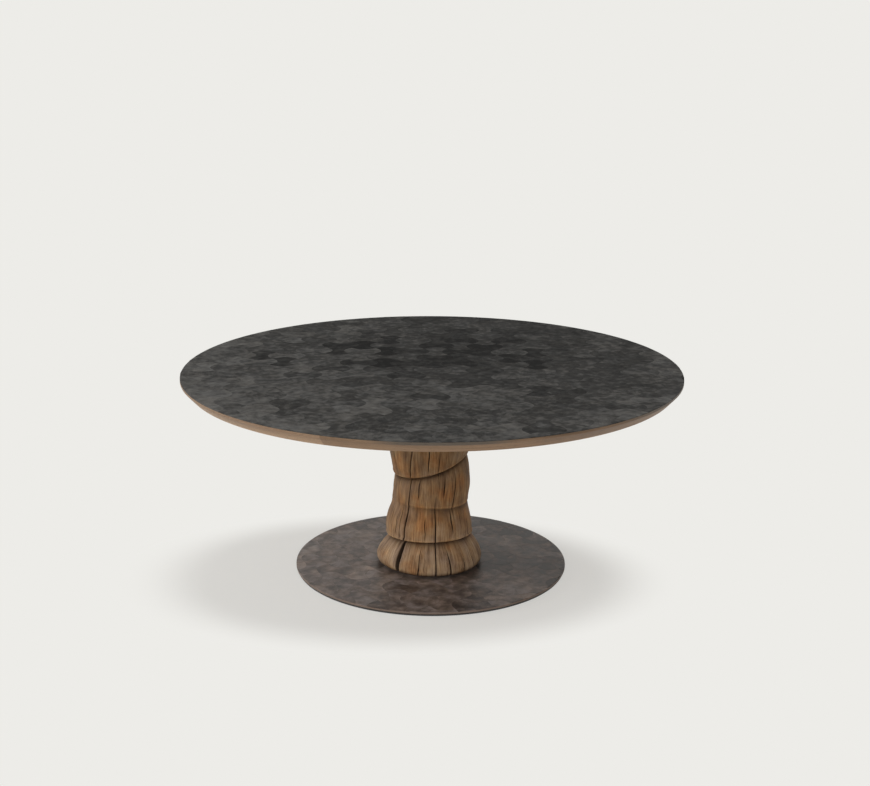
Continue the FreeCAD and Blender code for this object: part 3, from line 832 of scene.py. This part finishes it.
SIDE_CHECKS = (
    short_check(FOOT, 0.255, 112.0, 108.0, 0.0065, 0.034, True),
    short_check(FOOT, 0.130, 160.0, 156.0, 0.0055, 0.030, True),
    short_check(FOOT, 0.400, -118.0, -112.0, 0.0065, 0.038, True),
    short_check(0.270, TRUNK_TOP, -160.0, -158.0, 0.0040, 0.034),
    short_check(0.400, TRUNK_TOP, 75.0, 71.0, 0.0038, 0.030),
)
print(f"{len(FRONT_CHECKS)} checks in front and {len(SIDE_CHECKS)} at the sides and back")

# %% [markdown]
# The rest are spread by a seeded draw, so that the back isn't left smooth. A fine check is kept only
# where it stays clear of all the others, because the surface is later built between neighbours.

# %% Fine checks
FINE_CHECKS, FINE_TRIES, FINE_SEED = 24, 600, 5
FINE_SPACING = 3.2
# ranges of the lower end and length in metres, and of the angle in degrees
FINE_LOW, FINE_LENGTH, FINE_ANGLE = (0.03, 0.60), (0.06, 0.24), (-176, 176)
# ranges of the width in metres and of the lean in degrees, and depth as a multiple of width
FINE_WIDTH, FINE_LEAN, FINE_DEPTH = (0.0012, 0.0030), (-2.0, 2.0), 6
LOOK_HEIGHTS = np.linspace(TRUNK_BOTTOM, TRUNK_TOP, 15)
SORT_HEIGHT = 0.3


def path_of(check, heights):
    """Angles of a check at some heights; it keeps its end angles beyond its ends."""
    return np.interp(heights, check["heights"], check["angles"])


def clear_of(check, others):
    """True if a check stays a little way from all the others at every height."""
    for other in others:
        gap = (path_of(check, LOOK_HEIGHTS) - path_of(other, LOOK_HEIGHTS) + 180) % 360 - 180
        if min(abs(gap)) < FINE_SPACING or min(gap) * max(gap) < 0:
            return False
    return True


chance = np.random.default_rng(FINE_SEED)
checks = list(FRONT_CHECKS + SIDE_CHECKS)
wanted = len(checks) + FINE_CHECKS
for draw in range(FINE_TRIES):
    low, size = chance.uniform(*FINE_LOW), chance.uniform(*FINE_LENGTH)
    angle, width, lean = (chance.uniform(*limits) for limits in (FINE_ANGLE, FINE_WIDTH, FINE_LEAN))
    fine = short_check(low, min(TRUNK_TOP, low + size), angle, angle + lean, width, width * FINE_DEPTH)
    if len(checks) < wanted and clear_of(fine, checks):
        checks.append(fine)
checks.sort(key=lambda check: path_of(check, SORT_HEIGHT))
print(f"{len(checks)} checks round the trunk")

# %% [markdown]
# ## Cutting the checks into the surface
#
# The surface is a net of columns that follow the grain and rows that follow the grooves. Each check
# owns nine columns: on each side a shoulder, a lip, an edge just inside it and a wall, and the root
# between them. Where a check closes, its columns draw together and the surface heals. Plain columns
# fill the wood in between, so a crack stays a clean line however it wanders.

# %% Columns and rows of the net
PLAIN_SPACING = 0.0026
MEAN_RADIUS = 0.150
CLOSED_HALF_WIDTH = 0.00012
ROWS_PER_SWELLING = (50, 56, 56, 60, 46)
SHOULDER, LIP, EDGE, WALL, ROOT = 4, 3, 2, 1, 0
# distance of a column from the root in half widths of the check, and what a shoulder adds in metres
COLUMN_PLACE = {SHOULDER: 1.5, LIP: 1.0, EDGE: 0.92, WALL: 0.70, ROOT: 0.0}
SHOULDER_GAP = 0.0022


def half_width(check, heights):
    """Half the width of a check at some heights, never quite closed."""
    return np.maximum(np.interp(heights, check["heights"], check["widths"]) / 2, CLOSED_HALF_WIDTH)


def check_offset(check, place, heights):
    """Distance along the surface from a check's root to one of its nine columns."""
    gap = SHOULDER_GAP if abs(place) == SHOULDER else 0.0
    return math.copysign(1, place) * (COLUMN_PLACE[abs(place)] * half_width(check, heights) + gap)


def check_after(number):
    """The next check round the trunk, and the full turn that the last one has to add to it."""
    return checks[(number + 1) % len(checks)], 360.0 if number + 1 == len(checks) else 0.0


def column_angle(column, heights, radii):
    """Angle of a column of the net at each of its rows."""
    number, place, share = column
    check = checks[number]
    per_metre = np.degrees(1 / radii)
    if place is not None:
        return path_of(check, heights) + check_offset(check, place, heights) * per_metre
    after, lap = check_after(number)
    start = path_of(check, heights) + check_offset(check, SHOULDER, heights) * per_metre
    end = path_of(after, heights) + lap + check_offset(after, -SHOULDER, heights) * per_metre
    return start + (end - start) * share


columns = []
for number, check in enumerate(checks):
    columns += [(number, place, 0.0) for place in range(-SHOULDER, SHOULDER + 1)]
    after, lap = check_after(number)
    gap = math.radians(path_of(after, SORT_HEIGHT) + lap - path_of(check, SORT_HEIGHT)) * MEAN_RADIUS
    fillers = max(1, int(gap / PLAIN_SPACING))
    columns += [(number, None, (step + 1) / (fillers + 1)) for step in range(fillers)]

rows = []
for number, count in enumerate(ROWS_PER_SWELLING):
    last = 1 if number + 1 == len(ROWS_PER_SWELLING) else 0
    shares = (1 - np.cos(np.pi * np.arange(count + last) / count)) / 2
    rows += [(number, float(share)) for share in shares]
print(f"net of {len(columns)} columns and {len(rows)} rows")

# %% [markdown]
# ## Worn relief, dirt, and painted highlights and shade
#
# Between the checks the weathered wood is never flat. Three layers of smooth chance numbers, the
# same on every run, give it soft dents as broad as a hand, ribs of hard summer wood and shallow
# furrows along the grain. The net also carries where dirt and painted shade darken the checks, the
# grooves and the foot, where a highlight is painted on the lips and where shade is painted under them.

# %% Places on the net
# depth in metres, patches around and up, seed
DENTS = (0.0024, 13, 15, 31)
RIBS, FURROWS = (0.0006, 58, 17, 32), (0.0003, 170, 34, 33)
SETTLING_ROUNDS = 4
# how far the lips of a check sink, at most and as a share of its half width, and the dirt and painted shade
# at its lips
LIP_DROP, LIP_DROP_SHARE, LIP_DIRT_AND_SHADE = 0.0008, 0.25, 0.10
DEPTH_SHARE = {EDGE: 0.06, WALL: 0.62, ROOT: 1.0}
# how far dirt and painted shade reach above and below a groove, how dark they get per metre of a groove's
# bite, with a least bite, and how dark and high they reach at the foot of the trunk
DIRT_AND_SHADE_ABOVE, DIRT_AND_SHADE_BELOW = 0.0040, 0.0095
DIRT_AND_SHADE_PER_BITE, SHALLOWEST_BITE = 95.0, 0.0044
FOOT_DIRT_AND_SHADE, FOOT_DIRT_AND_SHADE_RISE = 0.75, 0.011
# a painted highlight along the lips over the grooves: its height above a groove and its width
HIGHLIGHT_RISE, HIGHLIGHT_WIDTH = 0.0080, 0.0038
# painted shade under the lip of each groove reaches this far down
SHADE_REACH = 0.015


def chance_field(angles, heights, depth, around, up, seed):
    """Smooth numbers from -depth to depth on the trunk, with that many patches around and up."""
    grid = np.random.default_rng(seed).uniform(-1, 1, (around, up + 1))
    u = (angles / 360.0 * around) % around
    v = np.clip((heights - TRUNK_BOTTOM) / TRUNK_HEIGHT, 0, 0.9999) * (up - 1)
    i, j = u.astype(int), v.astype(int)
    s, t = u - i, v - j
    s, t = s * s * (3 - 2 * s), t * t * (3 - 2 * t)
    i, ahead = i % around, (i + 1) % around
    low = grid[i, j] * (1 - s) + grid[ahead, j] * s
    high = grid[i, j + 1] * (1 - s) + grid[ahead, j + 1] * s
    return depth * (low * (1 - t) + high * t)


def check_depth(column, heights):
    """How deep a column of the net lies, and how dark dirt and painted shade make it in a check."""
    number, place, _ = column
    if place is None or abs(place) == SHOULDER:
        return 0.0 * heights, 0.0 * heights
    check = checks[number]
    half = half_width(check, heights)
    openness = np.clip((half - CLOSED_HALF_WIDTH) / (max(check["widths"]) / 2), 0, 1)
    if abs(place) == LIP:
        return np.minimum(LIP_DROP, LIP_DROP_SHARE * half) * (openness > 0), LIP_DIRT_AND_SHADE * openness
    share = DEPTH_SHARE[abs(place)]
    inside = np.minimum(1.0, openness * 3) * (0.85 + 0.15 * share)
    return check["depth"] * openness ** 0.8 * share, inside


def uncut_column(column):
    """Angles, radii and heights along a column of the net, before its check is cut."""
    numbers, shares = np.array([row[0] for row in rows]), np.array([row[1] for row in rows])
    angle = np.full(len(rows), float(path_of(checks[column[0]], SORT_HEIGHT)))
    radius, height = np.zeros(len(rows)), np.zeros(len(rows))
    for _ in range(SETTLING_ROUNDS):
        for number in range(len(SWELLINGS)):
            here = numbers == number
            radius[here], height[here] = swelling_at(number, angle[here], shares[here])
        angle = column_angle(column, height, radius)
    return angle, radius, height


def groove_marks(angles, heights):
    """Dirt and painted shade in the grooves and at the foot, painted lip highlights and shade under lips.
    """
    grime_and_shade = FOOT_DIRT_AND_SHADE * hump(heights - TRUNK_BOTTOM, FOOT_DIRT_AND_SHADE_RISE)
    painted_highlight, shade = np.zeros(angles.shape), np.zeros(angles.shape)
    for number in range(1, len(SWELLINGS)):
        away = heights - groove_at(number, angles)[1]
        strength = lip_strength(number, angles)
        fading = np.exp(-np.abs(away) / np.where(away > 0, DIRT_AND_SHADE_ABOVE, DIRT_AND_SHADE_BELOW)) * strength
        grime_and_shade = np.maximum(grime_and_shade, DIRT_AND_SHADE_PER_BITE * max(LIPS[number][1], SHALLOWEST_BITE) * fading)
        # a painted highlight on the lip over the groove
        painted_highlight += hump(away - HIGHLIGHT_RISE, HIGHLIGHT_WIDTH) * strength
        # painted shade under the lip of the groove
        shade += np.where(away < 0, hump(away, SHADE_REACH), 0) * strength
    return grime_and_shade, painted_highlight, shade


def trunk_net():
    """Places of the trunk's net as arrays of rows by columns, and the marks that it carries."""
    angles, radii, heights, dirt_and_painted_shade, grain = (np.zeros((len(rows), len(columns))) for _ in range(5))
    for at, column in enumerate(columns):
        angle, radius, height = uncut_column(column)
        sunk, dirt_and_painted_shade[:, at] = check_depth(column, height)
        angles[:, at], radii[:, at], heights[:, at] = angle, radius - sunk, height
        grain[:, at] = np.interp(SORT_HEIGHT, height, angle)
    open_wood = 1 - np.clip(dirt_and_painted_shade * 2, 0, 1)
    radii += open_wood * chance_field(angles, heights, *DENTS)
    radii += open_wood * chance_field(grain, heights, *RIBS)
    radii += open_wood * chance_field(grain, heights, *FURROWS)
    grime_and_shade, painted_highlight, shade = groove_marks(angles, heights)
    return angles, radii, heights, grain, {"dirt_and_painted_shade": np.maximum(dirt_and_painted_shade, grime_and_shade), "painted_highlight": painted_highlight, "shade": shade}


net = trunk_net()
print(f"radius of the trunk from {net[1].min():.3f} m in a split to {net[1].max():.3f} m")

# %% [markdown]
# The net becomes a mesh of four-sided faces with a fan of flat triangles at each end. It carries its
# marks, and a place along the grain for the finish: the angle that its column has at one set height,
# and its own height.

# %% Mesh of the trunk


def around_trunk(angles, radii, heights):
    """Points of the net in the frame of the table, row by row."""
    turns = np.radians(angles)
    return np.stack([radii * np.sin(turns), -radii * np.cos(turns), heights], axis=-1).reshape(-1, 3)


def trunk_mesh(angles, radii, heights, grain, marks):
    """The trunk as a mesh object, closed at both ends."""
    count_rows, count = angles.shape
    bottom, top, last = count_rows * count, count_rows * count + 1, (count_rows - 1) * count
    faces = wall_faces(count, count_rows)
    faces += [(bottom, (k + 1) % count, k) for k in range(count)]
    faces += [(top, last + k, last + (k + 1) % count) for k in range(count)]
    ends = [(0, 0, TRUNK_BOTTOM), (0, 0, TRUNK_TOP)]
    points = np.vstack([around_trunk(angles, radii, heights), ends])
    made = mesh_piece("trunk_with_checks", points.tolist(), faces)
    smooth = np.ones(len(faces), bool)
    smooth[-2 * count:] = False
    made.data.polygons.foreach_set("use_smooth", smooth)
    carry(made, "grain_place", np.vstack([around_trunk(grain, MEAN_RADIUS, heights), ends]))
    for name, values in marks.items():
        carry(made, name, np.append(values.ravel(), (0.0, 0.0)))
    return made


old_trunk = trunk_mesh(*net)
print(f"trunk mesh: {len(old_trunk.data.vertices)} points")

# %% [markdown]
# ## Finish of the trunk
#
# The bark is gone and the bare wood is oiled: warm tan ribs, brown furrows, rusty and grey patches,
# and nearly black dirt and painted shade in the checks and grooves and along the foot. All streaks
# are read along the grain of the net, so they bend with the checks. A highlight is painted on the
# lips over the grooves and shade under them, and the wood is painted darker up towards the head, in
# the shade of the top, and lighter at the foot.

# %% Weathered wood
TIMBER_STOPS = ((0.36, (0.130, 0.068, 0.033)), (0.46, (0.275, 0.160, 0.083)),
                (0.55, (0.385, 0.242, 0.132)), (0.66, (0.560, 0.388, 0.232)))
STAIN_STOPS = ((0.34, (1.13, 0.915, 0.68)), (0.49, (1.0, 1.0, 0.955)), (0.64, (0.87, 0.91, 1.02)))
HAIR_STOPS = ((0.34, (0.42, 0.38, 0.35)), (0.42, (1, 1, 1)))
# height in metres, and what the wood's colour is multiplied by there: painted light at the foot
# and painted shade up under the top
TRUNK_PAINTED_LIGHT_AND_SHADE = ((0.10, (1.08, 1.14, 1.24)), (0.20, (0.83, 0.76, 0.67)), (0.52, (0.57, 0.555, 0.52)))
# what a painted highlight on the lips and painted shade under them multiply the colour by
HIGHLIGHT_DYE, SHADED = (1.45, 1.42, 1.36, 1.0), (0.60, 0.57, 0.55, 1.0)
DIRT_AND_SHADE_COLOUR = (0.016, 0.009, 0.005, 1.0)
FIBRE_RELIEF = 0.0008


def weathered_wood(name):
    """Old oiled timber with streaks along the grain, and dirt and painted shade in its hollows."""
    material, tree, surface = new_finish(name)
    place = attribute(tree, "grain_place", "Vector")
    fibres = drawn_out(place, (240.0, 240.0, 14.0), 4.0, 0.6)
    ribs = drawn_out(place, (75.0, 75.0, 9.0), 3.0, 0.55)
    weather = drawn_out(place, (24.0, 24.0, 17.0), 4.0, 0.6)
    stains = drawn_out(place, (15.0, 15.0, 11.0), 3.0, 0.55)
    hairs = drawn_out(place, (520.0, 520.0, 16.0), 3.0, 0.6)
    colour = ramp(weighted_sum((fibres, 0.36), (ribs, 0.32), (weather, 0.32)), TIMBER_STOPS)
    colour = dyed(colour, ramp(stains, STAIN_STOPS))
    colour = dyed(colour, ramp(hairs, HAIR_STOPS))
    # painted light and shade: lighter at the foot, darker up in the shade of the top
    colour = dyed(colour, ramp(along_axis(place, "Z"), TRUNK_PAINTED_LIGHT_AND_SHADE))
    # a painted highlight on the lips over the grooves
    colour = dyed(colour, HIGHLIGHT_DYE, attribute(tree, "painted_highlight"))
    # painted shade under the lips of the grooves
    colour = dyed(colour, SHADED, attribute(tree, "shade"))
    threads = weighted_sum((fibres, 1.0), (hairs, 0.6))
    # dirt and painted shade darken the checks, the grooves and the foot of the trunk
    feed(surface, {
        "Base Color": blend(attribute(tree, "dirt_and_painted_shade"), colour, DIRT_AND_SHADE_COLOUR),
        "Roughness": maths("ADD", maths("MULTIPLY", ribs, 0.25), 0.55),
        "Specular IOR Level": 0.20,
        "Normal": relief(threads, FIBRE_RELIEF, 0.7)})
    return material


old_trunk.data.materials.append(weathered_wood("weathered_trunk_wood"))
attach(old_trunk, "root")
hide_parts("trunk")
print("the trunk has", old_trunk.data.materials[0].name)

# %% [markdown]
# ## Finishes on the measured pieces
#
# The wooden edge, the veneer, the plates, the screws and the glides keep their measured shape.
# The lengths of the top's edge and the foot plate get a hair of rounding on their corners, as
# sandpaper or a file leaves it.

# %% Dress the frame's own pieces
EDGE_ROUNDING = 0.0008

for name, node in nodes.items():
    if name in ("trunk", "top_mosaic", "base_mosaic"):
        continue
    finish = special_finish.get(name, finishes[slot_of[name]])
    if name.startswith("base_lipping"):
        finish = foot_edge_wood
    node.data.materials.clear()
    node.data.materials.append(finish)
    if name.startswith(("top_lipping", "base_plate")):
        rounding = node.modifiers.new("eased_edges", "BEVEL")
        rounding.width = EDGE_ROUNDING
        rounding.segments = 2
        rounding.limit_method = "ANGLE"
        rounding.angle_limit = math.radians(28)
print("dressed", len(nodes) - 3, "pieces of the frame")

# %% [markdown]
# ## Light
#
# Soft light comes from all round, with a broad lamp overhead, a little behind the table, a weak one
# low on the left and another in front. Together they light a level white surface to just its own
# colour. The sky is brighter on the left and as much dimmer on the right, which gives the trunk a
# darker side. Seen directly or in a reflection, it is a plain pale backdrop.

# %% Sky and lamps
PALE = (0.847, 0.839, 0.807)
# share of the light on a level surface, where it comes from, breadth in degrees
LAMPS = {"overhead_lamp": (0.52, (0.12, 0.15, 1.0), 30.0),
         "left_lamp": (0.067, (-0.99, 0.06, 0.13), 40.0),
         "front_lamp": (0.095, (0.02, -0.95, 0.33), 40.0)}
SKY_SHARE = 1.0 - sum(share for share, _, _ in LAMPS.values())
SKY_LEAN = 0.6


def seen_directly(tree):
    """1 for a look at the thing itself, straight, mirrored or through glass, and 0 for its light."""
    straight, through, mirrored = (add_node(tree, "LightPath", f"Is {kind} Ray")
                                   for kind in ("Camera", "Transmission", "Glossy"))
    return maths("MAXIMUM", maths("MAXIMUM", straight, through), mirrored)


scene = bpy.context.scene
scene.view_settings.view_transform = "Standard"

world = bpy.data.worlds.new("studio")
scene.world = world
world.use_nodes = True
sky_tree = world.node_tree
seen = seen_directly(sky_tree)
sideways = along_axis(add_node(sky_tree, "TexCoord", "Generated"), "X")
left_level, right_level = SKY_SHARE * (1 + SKY_LEAN), SKY_SHARE * (1 - SKY_LEAN)
sky_level = spread(sideways, -1.0, 1.0, left_level, right_level)
feed(sky_tree.nodes["Background"], {
    "Color": blend(seen, (1, 1, 1, 1), (*PALE, 1)),
    "Strength": maths("MAXIMUM", seen, sky_level)})

for name, (share, (x, y, z), breadth) in LAMPS.items():
    lamp = bpy.data.lights.new(name, "SUN")
    lamp.angle = math.radians(breadth)
    lamp.energy = share * math.pi * math.hypot(x, y, z) / z
    lamp_object = placed(name, lamp)
    lamp_object.rotation_euler = (math.atan2(math.hypot(x, y), z), 0, math.atan2(x, -y))
print(f"the sky gives {SKY_SHARE:.2f} of the light, {len(LAMPS)} lamps the rest")

# %% [markdown]
# ## Floor
#
# Seen directly, part of the pale floor is shown at its own even colour, so that the shadow stays as
# faint as in a bright studio, and past the edge of the shadow it fades into the backdrop. The
# shadow reaches a little to the left and to the front, and is wider than it is deep.

# %% Pale floor
FLOOR_REACH = 60.0
FLOOR_LIFT = 0.60
SHADOW_MIDDLE = (-0.13, -0.12, 0.0)
SHADOW_SQUEEZE = 1.50
FADE_START, FADE_END = 0.70, 1.04

floor_corners = [(x * FLOOR_REACH, y * FLOOR_REACH, 0) for x, y in ((-1, -1), (1, -1), (1, 1), (-1, 1))]
floor = mesh_piece("floor", floor_corners, [(0, 1, 2, 3)])
floor_finish, tree, surface = new_finish("pale_floor")
feed(surface, {"Base Color": (*PALE, 1), "Roughness": 1.0, "Specular IOR Level": 0.0})
from_shadow = next_node("VectorMath", "Vector", {0: own_place(tree), 1: SHADOW_MIDDLE},
                        operation="SUBTRACT")
distance = length(stretched(from_shadow, (1.0, SHADOW_SQUEEZE, 1.0)))
evenness = spread(distance, FADE_START, FADE_END, FLOOR_LIFT, 1.0)
even = add_node(tree, "Emission", "Emission", {"Color": (*PALE, 1), "Strength": 1.0})
share = maths("MULTIPLY", seen_directly(tree), evenness)
mixed = next_node("MixShader", "Shader", {0: share, 1: surface.outputs["BSDF"], 2: even})
feed(tree.nodes["Material Output"], {"Surface": mixed})
floor.data.materials.append(floor_finish)
print(f"floor {2 * FLOOR_REACH:.0f} m across; its shadow fades out {FADE_END:.2f} m to each side")

# %% [markdown]
# ## View
#
# The camera stands over five metres away, a little above head height, and looks down a little, as
# the rims of the top and of the foot and the size of their tiles tell. It looks slightly past the
# left of the table, and a small shift of the lens frames it again.

# %% Camera
CAMERA_PLACE = (0.0, -5.30, 2.099)
CAMERA_DOWN, CAMERA_LEFT = 15.19, 0.972

camera_data = bpy.data.cameras.new("camera")
camera_data.lens = 62.62
camera_data.sensor_width = 36.0
camera_data.shift_x = 0.0328
camera_data.clip_end = 500.0
camera = placed("camera", camera_data)
camera.location = CAMERA_PLACE
camera.rotation_euler = (math.radians(90 - CAMERA_DOWN), 0.0, math.radians(CAMERA_LEFT))
scene.camera = camera
print(f"camera {math.hypot(*CAMERA_PLACE[:2]):.2f} m away, {CAMERA_PLACE[2]:.2f} m up")
